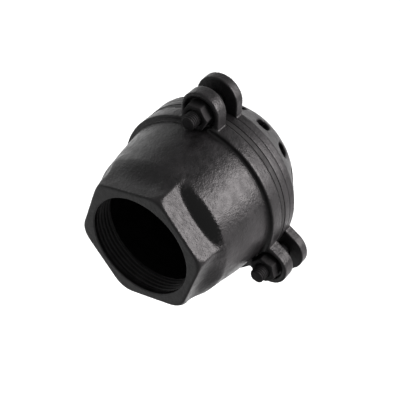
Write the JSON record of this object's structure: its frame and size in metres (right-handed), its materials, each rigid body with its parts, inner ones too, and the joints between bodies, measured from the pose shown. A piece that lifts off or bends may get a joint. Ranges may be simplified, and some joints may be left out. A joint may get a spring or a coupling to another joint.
{
  "type": "foot valve",
  "caption": "Cast-iron flap foot valve with a hexagon threaded outlet, bulging body, bolted ears and a domed slotted strainer.",
  "frame": {"origin": "centre of the outlet's threaded mouth, on the hexagon's end face", "axes": "+Z along the flow axis, out of the outlet and up in use; +X towards the flap's hinge; +Y towards the third ear"},
  "size_m": [0.115, 0.1117, 0.1052],
  "materials": {
    "painted_iron": "black satin enamel over sand-cast iron",
    "painted_steel": "black satin enamel over steel fasteners",
    "inner_steel": "dull zinc-plated steel",
    "rubber": "matt black sheet rubber"
  },
  "bodies": {
    "housing": {"body": "painted_iron", "gasket_rim": "rubber", "seat_ring": "painted_iron", "strainer": "painted_iron", "bolt_1": "painted_steel", "bolt_2": "painted_steel", "bolt_3": "painted_steel", "bolt_nut_1": "painted_steel", "bolt_nut_2": "painted_steel", "bolt_nut_3": "painted_steel"},
    "flap": {"flap_disc": "rubber", "flap_weight": "painted_iron", "flap_plate": "inner_steel", "flap_screw": "inner_steel", "flap_washer": "inner_steel", "flap_nut": "inner_steel"}
  },
  "joints": [
    {"name": "flap_hinge", "type": "hinge", "parent": "housing", "child": "flap", "pos_m": [0.035, 0, -0.05905], "axis": [0, 1, 0], "range_deg": [0, 56]}
  ]
}
